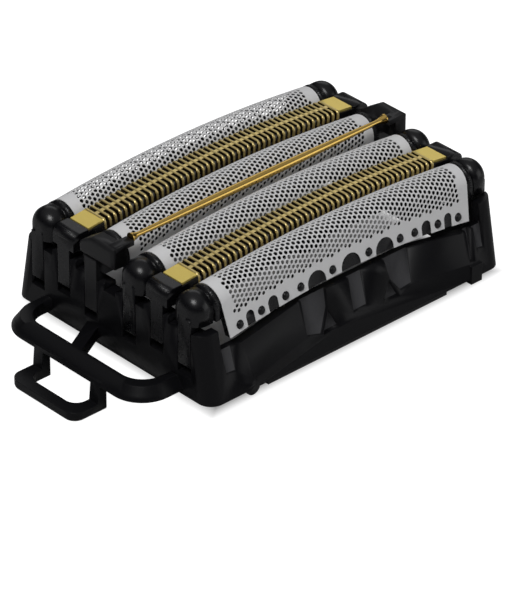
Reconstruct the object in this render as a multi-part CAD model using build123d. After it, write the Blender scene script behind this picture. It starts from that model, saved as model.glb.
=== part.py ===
from build123d import *
import os
from math import asin, cos, degrees, radians, sin, sqrt, tan

# Outer foil cassette of an electric shaver: a moulded ring that carries four foils, two slit
# trimmers and a skin roller, each unit floating up and down on legs in the ring's end walls.
# Millimetres. X runs along the foils, -Y is the front, +Z is the shaving side, and the origin is
# the centre of the ring on its foot plane.

# Ring
frame_length = 50.8
frame_depth = 37.0
wall_lean_deg = 10.5
side_wall = 1.3
end_wall = 2.0
corner_radius = 2.0
post_height = 9.4
post_length = 3.0
post_depth = 2.3
side_top_low = 6.65
side_top_high = 8.15
side_low_from = 19.0
side_high_to = 9.5
foil_zone_top = 9.1
slit_zone_top = 10.0
centre_zone_top = 8.4
rail_height = 0.57
rail_width = 1.0
rail_half_length = 15.5

# Shallow pockets in the outside of the long walls, as (x, z) corners
pocket_depth = 0.45
deep_pocket_depth = 0.8
pockets = [
    [(-8.9, 9.0), (-4.6, 9.0), (-4.6, 5.6), (-6.0, 2.5), (-8.5, 3.2)],
    [(-0.8, 9.0), (1.6, 9.0), (2.0, 3.4), (-0.5, 3.3)],
    [(5.3, 9.0), (9.7, 9.0), (9.9, 3.3), (7.8, 3.1), (6.1, 5.4)],
    [(-22.4, 7.0), (-20.6, 7.0), (-20.3, 3.3), (-22.0, 3.4)],
    [(21.0, 7.0), (22.6, 7.0), (22.6, 3.4), (21.3, 3.5)],
]
deep_pockets = [
    [(-4.5, 5.6), (-2.9, 2.4), (-5.9, 2.4)],
    [(6.0, 5.4), (7.5, 2.5), (4.4, 2.5)],
    [(19.7, 7.0), (20.5, 7.0), (20.8, 2.1), (19.9, 2.1)],
]

# Boss and nub at the foot of the long walls
boss_x = -18.4
boss_radius = 1.1
nub_x = 20.45
nub_width = 1.9
nub_height = 2.65
foot_proud = 0.3

# Places of the floating units
outer_foil_y = 13.5
slit_y = 8.75
inner_foil_y = 3.6
float_travel = 0.7
float_clearance = 0.5

# Curve along the foils and slit blades
arch_radius = 190.0
foil_crest = 15.45
slit_crest = 15.0

# Foil sheets; stakes and scallops are placed as shares of the foil's half length
foil_radius = 2.5
foil_sheet = 0.1
inner_skirt = 1.6
skirt_lean_deg = 12.8
skirt_bottom = 9.35
skirt_spare = 1.0
stake_row_height = 10.25
stake_row_radius = 135.0
stake_hole_radius = 0.45
stake_shares = [0.146, 0.402, 0.522, 0.7146, 0.8854]
scallop_shares = [(0.0, 3.4), (0.2746, 3.2), (0.6197, 1.7), (0.8005, 1.4)]
scallop_rise = 0.35

# Foil holders
holder_fit = 0.02
rail_thick = 0.88
rail_tall = 1.4
stake_fit = 0.08
stake_proud = 0.2
seat_length = 1.7
lip_gap = 0.15
lip_length = 0.6
groove_length = 0.45
groove_depth = 0.35
dome_length = 2.9
dome_inset = 0.08
dome_round = 1.9
leg_root = 0.8

# Legs and their slots
leg_width = 2.2
leg_thick = 1.5
leg_offset_outer = 0.3
slot_gap = 0.15
foil_slot_floor = 3.1
slit_slot_floor = 4.3
leg_foot_gap = 0.6
barb_height = 0.9
barb_depth = 0.4
barb_gap = 0.05

# Slit blades
slit_half_width = 1.95
slit_sheet = 0.3
slit_depth = 2.2
slit_edge = 0.45
plate_half_width = 1.735
plate_inset = 2.71
plate_length = 2.65
tooth_pitch = 0.875
tooth_gap = 0.42
comb_end = 0.12
spine_half_width = 0.28
tooth_reach_long = 1.45
tooth_reach_short = 1.1

# Slit carriers, cutters, sliders and springs
carrier_top = 13.6
carrier_round = 1.2
carrier_rail = 0.6
carrier_rail_tall = 1.25
cutter_gap = 0.15
cutter_side_gap = 0.08
cutter_sheet = 0.25
cutter_depth = 1.6
cutter_pitch = 1.75
cutter_slot = 0.8
cutter_spine_half_width = 0.35
cutter_reach = 0.9
cutter_travel = 0.9
cutter_end_gap = 0.94
slider_gap = 0.15
slider_inset = 1.7
slider_bottom = 12.0
slider_top = 13.0
stem_half_length = 2.2
stem_bottom = 8.8
slider_post = 1.6
spring_half_length = 9.0
spring_sheet = 0.2
spring_half_width = 0.8

# Roller and its brackets
roller_height = 15.1
roller_mid_radius = 0.6
roller_neck_radius = 0.32
roller_collar_radius = 0.66
roller_collar_length = 0.09
roller_flare_length = 1.65
barrel_steps = 6
flare_steps = 3
journal_radius = 0.35
journal_length = 1.0
journal_clearance = 0.04
collar_gap = 0.06
arm_length = 3.5
arm_half_width = 0.75
arm_wall = 0.75
bracket_low_y = -0.65
bracket_high_y = 5.9
bracket_bottom = 11.9
bracket_top = 14.9
bracket_thick = 2.2
bracket_round = 0.6

# Release loop on the left end
loop_reach = 7.2
loop_half_width = 13.6
loop_corner = 4.6
loop_strap = 2.3
loop_bottom = 0.7
loop_top = 2.4
loop_slope = 1.1
loop_rim = 0.2
strut_width = 2.0
strut_wall_y = 3.9
strut_loop_y = 0.7
tab_half_width = 6.2
tab_arm = 1.7
tab_thick = 1.4
tab_bottom = -3.1
tab_reach = 4.3
tab_bar = 1.7
tab_round = 0.55

half_length = frame_length / 2
half_depth = frame_depth / 2
lean = tan(radians(wall_lean_deg))
skirt_lean = radians(skirt_lean_deg)
tall = frame_length

foil_half_length = half_length - dome_length - groove_length - lip_length - lip_gap
lip_start = foil_half_length + lip_gap
groove_start = lip_start + lip_length
dome_start = groove_start + groove_length
seat_radius = foil_radius - foil_sheet - holder_fit
stake_places = [share * foil_half_length for share in stake_shares]
scallop_places = [(share * foil_half_length, width) for share, width in scallop_shares]
cap_bottom = foil_zone_top + float_travel + float_clearance
carrier_bottom = slit_zone_top + float_travel + float_clearance
leg_lift = float_travel + leg_foot_gap

plate_end = half_length - plate_inset
slit_half_length = plate_end - plate_length
cutter_crest = slit_crest - slit_sheet - cutter_gap
cutter_half_width = slit_half_width - slit_sheet - cutter_side_gap
cutter_half_length = slit_half_length - cutter_travel - cutter_end_gap
slider_half_length = cutter_half_length - slider_inset

arm_end = half_length - arm_length
journal_end = arm_end + journal_length
roller_end = arm_end - collar_gap
roller_collar_x = roller_end - roller_collar_length
roller_neck_x = roller_collar_x - roller_flare_length


def yz_face(points):
    """A flat face on the plane x = 0 from (y, z) corners."""
    return make_face(Polyline([(0, y, z) for y, z in points], close=True))


def xz_face(points):
    """A flat face on the plane y = 0 from (x, z) corners."""
    return make_face(Polyline([(x, 0, z) for x, z in points], close=True))


def block(low, high):
    """A box between two opposite corners."""
    size = [b - a for a, b in zip(low, high)]
    middle = [(a + b) / 2 for a, b in zip(low, high)]
    return Pos(*middle) * Box(*size)


def along_x(face, start, end):
    """Extrudes a face on the plane x = 0 from x = start to x = end."""
    return Pos(start, 0, 0) * extrude(face, amount=end - start, dir=(1, 0, 0))


def along_y(face, start, end):
    """Extrudes a face on the plane y = 0 from y = start to y = end."""
    return Pos(0, start, 0) * extrude(face, amount=end - start, dir=(0, 1, 0))


def arch_drop(x, radius=arch_radius):
    """How far a curve of this radius has fallen at x from its crest."""
    return radius - sqrt(radius**2 - x**2)


def arched(face, crest, half):
    """Sweeps a section on the plane x = 0 along the arch, to x = half at the crest on both sides."""
    axis = Axis((0, 0, crest - arch_radius), (0, 1, 0))
    half_angle = degrees(asin(half / arch_radius))
    return revolve(face.rotate(axis, -half_angle), axis, revolution_arc=2 * half_angle)


def arch_band(crest, top_offset, bottom_offset, half):
    """The XZ outline of a band that follows the arch between two depths under its crest."""
    drop = arch_drop(half)
    upper = crest - top_offset
    lower = crest - bottom_offset
    return make_face(
        [
            ThreePointArc((-half, 0, upper - drop), (0, 0, upper), (half, 0, upper - drop)),
            Line((half, 0, upper - drop), (half, 0, lower - drop)),
            ThreePointArc((half, 0, lower - drop), (0, 0, lower), (-half, 0, lower - drop)),
            Line((-half, 0, lower - drop), (-half, 0, upper - drop)),
        ]
    )


def mirrored_pair(solid):
    """A solid for the +X end together with its mirror image at the -X end."""
    return [solid, mirror(solid, Plane.YZ)]


def one_solid(shape):
    """The single solid that a fused shape has to be."""
    solids = shape.solids()
    assert len(solids) == 1, f"expected one solid, got {len(solids)}"
    return solids[0]


# Foils


def foil_path(centre, side, radius, outer_lean, outer_bottom):
    """Corner points of one surface of a foil section, from its inner skirt over to its outer skirt.

    side is +1 or -1, the way to the outer skirt along Y.
    """
    arc_z = foil_crest - foil_radius
    tangent_v = radius * cos(outer_lean)
    tangent_z = arc_z + radius * sin(outer_lean)
    bottom_v = tangent_v + (tangent_z - outer_bottom) * tan(outer_lean)
    flat = [
        (-radius, arc_z - inner_skirt),
        (-radius, arc_z),
        (0, arc_z + radius),
        (tangent_v, tangent_z),
        (bottom_v, outer_bottom),
    ]
    return [(0, centre + side * v, z) for v, z in flat]


def foil_section(centre, side, outer_lean, outer_bottom):
    """The YZ section of a foil sheet."""
    outer = foil_path(centre, side, foil_radius, outer_lean, outer_bottom)
    inner = foil_path(centre, side, foil_radius - foil_sheet, outer_lean, outer_bottom)
    edges = []
    for path in (outer, inner):
        edges += [
            Line(path[0], path[1]),
            ThreePointArc(path[1], path[2], path[3]),
            Line(path[3], path[4]),
        ]
    edges += [Line(outer[0], inner[0]), Line(outer[4], inner[4])]
    return make_face(edges)


def skirt_cutters(centre, side):
    """Stake holes and scallops of an outer foil's long skirt, as tools that run along Y."""
    start = centre + side * foil_radius / 2
    reach = side * foil_radius * 2
    tools = []
    for place in stake_places:
        for x in (-place, place):
            z = stake_row_height - arch_drop(x, stake_row_radius)
            tools.append(round_rod(x, z, stake_hole_radius, start, reach))
    for place, width in scallop_places:
        for x in sorted({-place, place}):
            z = stake_row_height - arch_drop(x, stake_row_radius) + scallop_rise - width / 2
            outline = SlotCenterToCenter(2 * tall, width, rotation=90)
            tool = extrude(Plane.XZ * Pos(x, z - tall) * outline, amount=reach, dir=(0, 1, 0))
            tools.append(Pos(0, start, 0) * tool)
    return tools


def round_rod(x, z, radius, start, reach):
    """A round rod along Y from y = start."""
    disc = Plane.XZ * Pos(x, z) * Circle(radius)
    return Pos(0, start, 0) * extrude(disc, amount=reach, dir=(0, 1, 0))


def skirt_trim(centre, side):
    """Everything below the curved lower edge of an outer foil's long skirt."""
    left = (-half_length, 0, skirt_bottom - arch_drop(half_length, stake_row_radius))
    right = (half_length, 0, left[2])
    outline = make_face(
        [
            ThreePointArc(left, (0, 0, skirt_bottom), right),
            Polyline(right, (half_length, 0, 0), (-half_length, 0, 0), left),
        ]
    )
    start = centre + side * foil_radius / 2
    return Pos(0, start, 0) * extrude(outline, amount=side * foil_radius * 2, dir=(0, 1, 0))


def outer_foil(side):
    """A foil beside the ring's long wall, with the staked and scalloped skirt."""
    centre = side * outer_foil_y
    section = foil_section(centre, side, skirt_lean, skirt_bottom - skirt_spare)
    sheet = arched(section, foil_crest, foil_half_length)
    return one_solid(sheet - [skirt_trim(centre, side)] - skirt_cutters(centre, side))


def inner_foil(side):
    """A foil beside the roller, with two plain skirts."""
    arc_z = foil_crest - foil_radius
    section = foil_section(side * inner_foil_y, side, 0, arc_z - inner_skirt)
    return one_solid(arched(section, foil_crest, foil_half_length))


# Foil holders


def cap_section(centre, radius, bottom):
    """The YZ section of an end cap: an arch on straight sides."""
    arc_z = foil_crest - arch_drop(foil_half_length) - foil_radius
    left = centre - radius
    right = centre + radius
    return make_face(
        [
            ThreePointArc((0, left, arc_z), (0, centre, arc_z + radius), (0, right, arc_z)),
            Line((0, right, arc_z), (0, right, bottom)),
            Line((0, right, bottom), (0, left, bottom)),
            Line((0, left, bottom), (0, left, arc_z)),
        ]
    )


def cap_stack(centre):
    """Seat, lip and groove that a foil's +X end sits on."""
    seat = cap_section(centre, seat_radius, cap_bottom)
    lip = cap_section(centre, foil_radius, cap_bottom)
    groove = cap_section(centre, seat_radius - groove_depth, cap_bottom)
    stack = along_x(seat, foil_half_length - seat_length, groove_start)
    stack += along_x(lip, lip_start, groove_start)
    return stack + along_x(groove, lip_start, dome_start)


def cap_dome(centre):
    """The rounded outer end of a foil's +X cap."""
    dome = along_x(cap_section(centre, foil_radius - dome_inset, cap_bottom), dome_start, half_length)
    outer_face = dome.faces().sort_by(Axis.X)[-1]
    crown = outer_face.edges().filter_by(GeomType.CIRCLE)
    return fillet(crown, dome_round)


def leg(centre, width, bottom, top):
    """A +X leg with a barb at its foot that catches inside the end wall."""
    inner = half_length - leg_thick
    shank = block((inner, centre - width / 2, bottom), (half_length, centre + width / 2, top))
    barb = xz_face(
        [
            (inner, bottom),
            (inner, bottom + barb_height),
            (inner - barb_depth, bottom + barb_height),
            (inner - barb_depth, bottom + barb_height - barb_depth),
        ]
    )
    return shank + along_y(barb, centre - width / 2, centre + width / 2)


def rail_section(centre, side, lean_angle, top_z, bottom_z):
    """The YZ section of a rail that lies along the inside of a foil's skirt."""
    arc_z = foil_crest - foil_radius
    base_v = seat_radius * cos(lean_angle)
    base_z = arc_z + seat_radius * sin(lean_angle)
    corners = []
    for z, inset in ((top_z, 0), (bottom_z, 0), (bottom_z, rail_thick), (top_z, rail_thick)):
        v = base_v + (base_z - z) * tan(lean_angle) - inset
        corners.append((centre + side * v, z))
    return yz_face(corners)


def plain_rail(centre, side):
    """A holder's rail under a plain skirt."""
    top_z = foil_crest - foil_radius
    return arched(rail_section(centre, side, 0, top_z, top_z - rail_tall), foil_crest, foil_half_length)


def stakes(centre, side):
    """Pins on the skirt rail that pass through a foil's stake holes."""
    arc_z = foil_crest - foil_radius
    pins = []
    for place in stake_places:
        for x in (-place, place):
            z = stake_row_height - arch_drop(x, stake_row_radius)
            depth = (foil_radius * sin(skirt_lean) + arc_z - z - arch_drop(x)) * tan(skirt_lean)
            surface = foil_radius * cos(skirt_lean) + depth
            start = centre + side * (surface - rail_thick)
            reach = side * (rail_thick + stake_proud)
            pins.append(round_rod(x, z, stake_hole_radius - stake_fit, start, reach))
    return pins


def holder_ends(centre, leg_centre):
    """Both end caps with their legs."""
    end = cap_stack(centre) + cap_dome(centre)
    end += leg(leg_centre, leg_width, foil_slot_floor + leg_lift, cap_bottom + leg_root)
    return mirrored_pair(end)


def outer_holder(side):
    """The carrier of an outer foil, with the stakes on its skirt rail."""
    centre = side * outer_foil_y
    section = rail_section(
        centre, side, skirt_lean, stake_row_height + rail_tall, skirt_bottom - skirt_spare
    )
    skirt_rail = arched(section, foil_crest, foil_half_length)
    skirt_rail -= skirt_trim(centre, side)
    ends = holder_ends(centre, centre + side * leg_offset_outer)
    return one_solid(skirt_rail + ends + [plain_rail(centre, -side)] + stakes(centre, side))


def inner_holder():
    """The carrier of the front inner foil."""
    centre = -inner_foil_y
    rails = [plain_rail(centre, 1), plain_rail(centre, -1)]
    return one_solid(rails[0] + rails[1:] + holder_ends(centre, centre))


def roller_bracket():
    """The block and arm at the +X end of the rear inner holder that carry one end of the roller."""
    wall = yz_face(
        [
            (bracket_low_y, bracket_bottom),
            (bracket_high_y, bracket_bottom),
            (bracket_high_y, (bracket_bottom + bracket_top) / 2),
            (inner_foil_y, bracket_top),
            (bracket_low_y, bracket_top),
        ]
    )
    bracket = along_x(wall, half_length - bracket_thick, half_length)
    outer_face = bracket.faces().sort_by(Axis.X)[-1]
    bracket = fillet(outer_face.edges(), bracket_round)
    arm = block(
        (arm_end, -arm_half_width, roller_height - arm_wall),
        (half_length - bracket_round, arm_half_width, roller_height + arm_wall),
    )
    arm = fillet(arm.edges().filter_by(Axis.X).group_by(Axis.Z)[-1], arm_half_width / 2)
    bore_length = journal_end + journal_clearance - arm_end
    bore = Pos(arm_end, 0, roller_height) * Rot(0, 90, 0) * Cylinder(
        journal_radius + journal_clearance, bore_length, align=(Align.CENTER, Align.CENTER, Align.MIN)
    )
    return bracket + arm - bore


def roller_holder():
    """The carrier of the rear inner foil, whose ends also carry the roller."""
    centre = inner_foil_y
    rails = [plain_rail(centre, 1), plain_rail(centre, -1)]
    groove = cap_section(centre, seat_radius - groove_depth, cap_bottom)
    end = cap_stack(centre) + along_x(groove, groove_start, half_length - bracket_round)
    end += roller_bracket()
    end += leg(centre, leg_width, foil_slot_floor + leg_lift, bracket_bottom)
    return one_solid(rails[0] + rails[1:] + mirrored_pair(end))


# Roller


def roller():
    """The barrel-shaped rod with flared collars and a journal at each end, in conical bands."""
    right = []
    for step in range(1, barrel_steps + 1):
        share = step / barrel_steps
        thinning = (roller_mid_radius - roller_neck_radius) * share**2
        right.append((share * roller_neck_x, roller_mid_radius - thinning))
    for step in range(1, flare_steps + 1):
        share = step / flare_steps
        widening = (roller_collar_radius - roller_neck_radius) * share**2
        right.append((roller_neck_x + share * roller_flare_length, roller_neck_radius + widening))
    right += [
        (roller_end, roller_collar_radius),
        (roller_end, journal_radius),
        (journal_end, journal_radius),
        (journal_end, 0),
    ]
    left = [(-x, radius) for x, radius in reversed(right)]
    outline = left + [(0, roller_mid_radius)] + right
    profile = xz_face([(x, roller_height + radius) for x, radius in outline])
    return one_solid(revolve(profile, Axis((0, 0, roller_height), (1, 0, 0))))


# Slit trimmers


def comb_slots(centre, crest, half, pitch, width, spine, half_width, reaches):
    """Slots across both edges of a channel blade, as many as fit evenly along its arch."""
    count = int((2 * (half - comb_end) - width) / pitch) + 1
    tools = []
    for index in range(count):
        x = (index - (count - 1) / 2) * pitch
        bottom = crest - arch_drop(x) - reaches[index % len(reaches)]
        for side in (-1, 1):
            low, high = sorted((centre + side * spine, centre + side * (half_width + slit_sheet)))
            tools.append(block((x - width / 2, low, bottom), (x + width / 2, high, crest + slit_sheet)))
    return tools


def channel(centre, crest, half_width, depth, sheet, half, edge):
    """A thin arched channel, open below, with bevelled upper edges."""
    body = along_y(arch_band(crest, 0, depth, half), centre - half_width, centre + half_width)
    middle_z = crest - depth / 2 - arch_drop(half)
    upper = [e for e in body.edges().filter_by(GeomType.CIRCLE) if e.center().Z > middle_z]
    body = chamfer(upper, edge)
    inner_half_width = half_width - sheet
    hollow = arch_band(crest, sheet, depth + sheet, half + sheet)
    return body - along_y(hollow, centre - inner_half_width, centre + inner_half_width)


def slit_blade(side):
    """The fixed comb of a slit trimmer, with a plain plate at each end."""
    centre = side * slit_y
    comb = channel(centre, slit_crest, slit_half_width, slit_depth, slit_sheet, slit_half_length, slit_edge)
    plate_band = arch_band(slit_crest, 0, slit_sheet, plate_end)
    plates = along_y(plate_band, centre - plate_half_width, centre + plate_half_width)
    slots = comb_slots(
        centre,
        slit_crest,
        slit_half_length,
        tooth_pitch,
        tooth_gap,
        spine_half_width,
        slit_half_width,
        (tooth_reach_long, tooth_reach_short),
    )
    return one_solid((comb + plates) - slots)


def slit_carrier(side):
    """The moulded carrier under a slit blade: two end blocks, two side rails and two legs."""
    centre = side * slit_y
    rail_floor = slit_depth + carrier_rail_tall
    rail_band = arch_band(slit_crest, slit_depth + holder_fit, rail_floor, slit_half_length)
    rails = []
    for edge in (-1, 1):
        outer = centre + edge * slit_half_width
        inner = outer - edge * carrier_rail
        rails.append(along_y(rail_band, min(outer, inner), max(outer, inner)))
    rail_bottom = slit_crest - rail_floor - arch_drop(slit_half_length)
    start = slit_half_length + holder_fit
    end = block(
        (start, centre - slit_half_width, carrier_bottom),
        (half_length, centre + slit_half_width, carrier_top),
    )
    outer_top = end.edges().filter_by(Axis.Y).sort_by(Axis.X)[-2:].sort_by(Axis.Z)[-1]
    end = fillet(outer_top, carrier_round)
    plate_room = along_y(
        arch_band(slit_crest, -tall, slit_sheet + holder_fit, plate_end + lip_gap),
        centre - tall,
        centre + tall,
    )
    end -= plate_room
    end += block(
        (slit_half_length - carrier_rail, centre - slit_half_width, rail_bottom),
        (start + carrier_rail, centre + slit_half_width, rail_bottom + carrier_rail),
    )
    end += block(
        (start, centre - slit_half_width, rail_bottom),
        (start + carrier_rail, centre + slit_half_width, carrier_bottom + carrier_rail),
    )
    end += leg(centre, leg_width, slit_slot_floor + leg_lift, carrier_bottom + carrier_rail)
    return one_solid(rails[0] + rails[1:] + mirrored_pair(end))


def slit_cutter(side):
    """The comb that runs to and fro under a slit blade."""
    centre = side * slit_y
    comb = channel(
        centre, cutter_crest, cutter_half_width, cutter_depth, cutter_sheet, cutter_half_length, slit_edge
    )
    slots = comb_slots(
        centre,
        cutter_crest,
        cutter_half_length,
        cutter_pitch,
        cutter_slot,
        cutter_spine_half_width,
        cutter_half_width,
        (cutter_reach,),
    )
    return one_solid(comb - slots)


def slit_slider(side):
    """The plastic bar that drives a cutter, with its stem below and two posts above."""
    centre = side * slit_y
    half_width = slit_half_width - carrier_rail - slider_gap
    low, high = centre - half_width, centre + half_width
    bar = block((-slider_half_length, low, slider_bottom), (slider_half_length, high, slider_top))
    bar += block((-stem_half_length, low, stem_bottom), (stem_half_length, high, slider_bottom))
    post_start = slider_half_length - slider_post * 3 / 2
    post_end = post_start + slider_post
    seat = cutter_crest - cutter_sheet - holder_fit - arch_drop(post_end)
    post = block(
        (post_start, centre - spring_half_width, slider_top),
        (post_end, centre + spring_half_width, seat),
    )
    return one_solid(bar + mirrored_pair(post))


def slit_spring(side):
    """The bowed leaf that presses a cutter up against its blade."""
    centre = side * slit_y
    feet = slider_top + holder_fit
    crown = cutter_crest - cutter_sheet - holder_fit
    half = spring_half_length
    outline = make_face(
        [
            ThreePointArc((-half, 0, feet + spring_sheet), (0, 0, crown), (half, 0, feet + spring_sheet)),
            Line((half, 0, feet + spring_sheet), (half, 0, feet)),
            ThreePointArc((half, 0, feet), (0, 0, crown - spring_sheet), (-half, 0, feet)),
            Line((-half, 0, feet), (-half, 0, feet + spring_sheet)),
        ]
    )
    return one_solid(along_y(outline, centre - spring_half_width, centre + spring_half_width))


# Ring


def wall_section(inset, bottom, top):
    """The YZ outline of the ring's leaning long walls, moved in by inset."""
    return yz_face(
        [
            (-half_depth + inset + lean * bottom, bottom),
            (half_depth - inset - lean * bottom, bottom),
            (half_depth - inset - lean * top, top),
            (-half_depth + inset + lean * top, top),
        ]
    )


def side_top_cut():
    """What is taken off the tops of the long walls between the corner posts."""
    end = half_length - post_length
    outline = xz_face(
        [
            (-end, side_top_low),
            (-side_low_from, side_top_low),
            (-side_high_to, side_top_high),
            (side_high_to, side_top_high),
            (side_low_from, side_top_low),
            (end, side_top_low),
            (end, tall),
            (-end, tall),
        ]
    )
    return along_y(outline, -frame_depth, frame_depth)


def end_top_cuts():
    """What is taken off the tops of the end walls under each kind of unit."""
    post_y = half_depth - lean * post_height - post_depth
    foil_slit_y = (outer_foil_y - foil_radius + slit_y + slit_half_width) / 2
    slit_foil_y = (slit_y - slit_half_width + inner_foil_y + foil_radius) / 2
    centre_y = inner_foil_y - foil_radius
    zones = [
        (post_y, half_depth, post_height),
        (foil_slit_y, post_y, foil_zone_top),
        (slit_foil_y, foil_slit_y, slit_zone_top),
        (centre_y, slit_foil_y, foil_zone_top),
        (0, centre_y, centre_zone_top),
    ]
    cuts = []
    for inner, outer, top in zones:
        for low, high in ((inner, outer), (-outer, -inner)):
            cuts.append(block((-frame_length, low, top), (frame_length, high, tall)))
    return cuts


def leg_places():
    """Centre and slot floor of every leg in one end wall."""
    outer = outer_foil_y + leg_offset_outer
    return [
        (-outer, foil_slot_floor),
        (-slit_y, slit_slot_floor),
        (-inner_foil_y, foil_slot_floor),
        (inner_foil_y, foil_slot_floor),
        (slit_y, slit_slot_floor),
        (outer, foil_slot_floor),
    ]


def slot_cuts():
    """Leg slots in the end walls, open inwards below the catch of each barb."""
    half_width = leg_width / 2 + slot_gap
    cuts = []
    for centre, floor in leg_places():
        low, high = centre - half_width, centre + half_width
        catch = floor + leg_lift + barb_height + barb_gap
        channel_cut = block((half_length - leg_thick - slot_gap, low, floor), (frame_length, high, tall))
        window = block((half_length - 2 * end_wall, low, floor), (frame_length, high, catch))
        cuts += mirrored_pair(channel_cut) + mirrored_pair(window)
    return cuts


def release_loop():
    """The springy D-shaped strap, its strut and its finger tab, moulded on the -X end wall."""
    inner_x = -half_length + end_wall / 2
    outer_x = -half_length - loop_reach
    outer = Pos((inner_x + outer_x) / 2, 0) * Rectangle(inner_x - outer_x, 2 * loop_half_width)
    outer = fillet(outer.vertices().group_by(Axis.X)[0], loop_corner)
    strap = extrude(Pos(0, 0, loop_bottom) * outer, amount=loop_top - loop_bottom)
    rim = [e for e in strap.faces().sort_by(Axis.Z)[-1].edges() if e.center().X < inner_x - holder_fit]
    strap = chamfer(rim, loop_top - loop_bottom - loop_rim, loop_slope)
    hole_end = outer_x + loop_strap
    hole_width = 2 * (loop_half_width - loop_strap)
    hole = Pos((inner_x + hole_end) / 2, 0) * Rectangle(inner_x - hole_end, hole_width)
    hole = fillet(hole.vertices().group_by(Axis.X)[0], loop_corner - loop_strap / 2)
    strap -= extrude(Pos(0, 0, -tall) * hole, amount=2 * tall)
    strut_plan = make_face(
        Polyline(
            (inner_x, strut_wall_y + strut_width / 2, loop_bottom),
            (inner_x, strut_wall_y - strut_width / 2, loop_bottom),
            (hole_end - holder_fit, strut_loop_y - strut_width / 2, loop_bottom),
            (hole_end - holder_fit, strut_loop_y + strut_width / 2, loop_bottom),
            close=True,
        )
    )
    strut = extrude(strut_plan, amount=loop_top - loop_bottom)
    knee = outer_x - tab_thick + loop_slope
    profile = xz_face(
        [
            (outer_x + loop_slope, loop_bottom + loop_slope),
            (outer_x + loop_slope, loop_bottom),
            (knee + tab_thick, tab_bottom + tab_thick),
            (knee + tab_thick, tab_bottom),
            (outer_x - tab_reach, tab_bottom),
            (outer_x - tab_reach, tab_bottom + tab_thick),
            (knee, tab_bottom + tab_thick),
            (outer_x, loop_bottom + loop_slope / 2),
        ]
    )
    tab = along_y(profile, -tab_half_width, tab_half_width)
    bar_corners = tab.edges().filter_by(Axis.Z).group_by(Axis.X)[0]
    tab = fillet(bar_corners, tab_bar)
    bar_rim = [e for e in tab.faces().sort_by(Axis.Z)[0].edges() if e.center().X < knee]
    tab = fillet(bar_rim, tab_round)
    window = block(
        (outer_x - tab_reach + tab_bar, -tab_half_width + tab_arm, -tall),
        (outer_x + loop_slope, tab_half_width - tab_arm, loop_bottom),
    )
    window = fillet(window.edges().filter_by(Axis.Z).group_by(Axis.X)[0], tab_arm)
    return strap + strut + (tab - window)


def pocket_cuts(outlines, depth):
    """Pockets of one depth in the outside of both long walls, the rear ones turned half round."""
    core = along_x(wall_section(depth, -rail_height, slit_zone_top), -half_length, half_length)
    cuts = []
    for outline in outlines:
        front = along_y(xz_face(outline), -frame_depth, 0) - core
        cuts += [front, front.rotate(Axis.Z, 180)]
    return cuts


def foot_bumps():
    """A round boss and a square nub at the foot of each long wall, the rear ones turned half round."""
    face_y = -half_depth - foot_proud
    boss = round_rod(boss_x, boss_radius - rail_height, boss_radius, face_y, side_wall)
    nub = block(
        (nub_x - nub_width / 2, face_y, -rail_height),
        (nub_x + nub_width / 2, face_y + side_wall, nub_height - rail_height),
    )
    return [bump.rotate(Axis.Z, turn) for bump in (boss, nub) for turn in (0, 180)]


def cassette_frame():
    """The moulded ring with its slots, foot rails and release loop."""
    ring = along_x(wall_section(0, 0, slit_zone_top), -half_length, half_length)
    corners = [e for e in ring.edges() if e.bounding_box().size.Z > slit_zone_top / 2]
    ring = fillet(corners, corner_radius)
    inner_end = half_length - end_wall
    ring -= along_x(wall_section(side_wall, -end_wall, slit_zone_top + end_wall), -inner_end, inner_end)
    ring -= side_top_cut()
    ring -= end_top_cuts()
    ring -= pocket_cuts(pockets, pocket_depth)
    ring -= pocket_cuts(deep_pockets, deep_pocket_depth)
    for side in (-1, 1):
        outer = side * (half_depth - (side_wall - rail_width) / 2)
        inner = outer - side * rail_width
        low, high = sorted((outer, inner))
        ring += block((-rail_half_length, low, -rail_height), (rail_half_length, high, holder_fit))
    ring += foot_bumps()
    ring += release_loop()
    return one_solid(ring - slot_cuts())


def main():
    """Builds every piece and writes one STEP file for each."""
    pieces = {
        "cassette_frame": cassette_frame(),
        "foil_front_outer": outer_foil(-1),
        "foil_rear_outer": outer_foil(1),
        "foil_front_inner": inner_foil(-1),
        "foil_rear_inner": inner_foil(1),
        "holder_front_outer": outer_holder(-1),
        "holder_rear_outer": outer_holder(1),
        "holder_front_inner": inner_holder(),
        "holder_rear_inner": roller_holder(),
        "skin_roller": roller(),
    }
    for name, side in (("front", -1), ("rear", 1)):
        pieces[f"slit_blade_{name}"] = slit_blade(side)
        pieces[f"slit_carrier_{name}"] = slit_carrier(side)
        pieces[f"slit_cutter_{name}"] = slit_cutter(side)
        pieces[f"slit_slider_{name}"] = slit_slider(side)
        pieces[f"slit_spring_{name}"] = slit_spring(side)
    os.makedirs("parts", exist_ok=True)
    for name, piece in pieces.items():
        export_step(piece, f"parts/{name}.step")


if __name__ == "__main__":
    main()
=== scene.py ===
"""Looks of the shaver foil head: perforated foils, comb ribs, roller, mouldings, light and camera.

Lengths are in millimetres until a mesh is made; the scene itself is in metres, in the frame of the
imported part: X along the foils, -Y the front, +Z the shaving side.
"""

import logging
import math
from dataclasses import dataclass
from enum import Enum

import bmesh
import bpy
import numpy as np
from mathutils import Matrix, Vector

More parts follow.
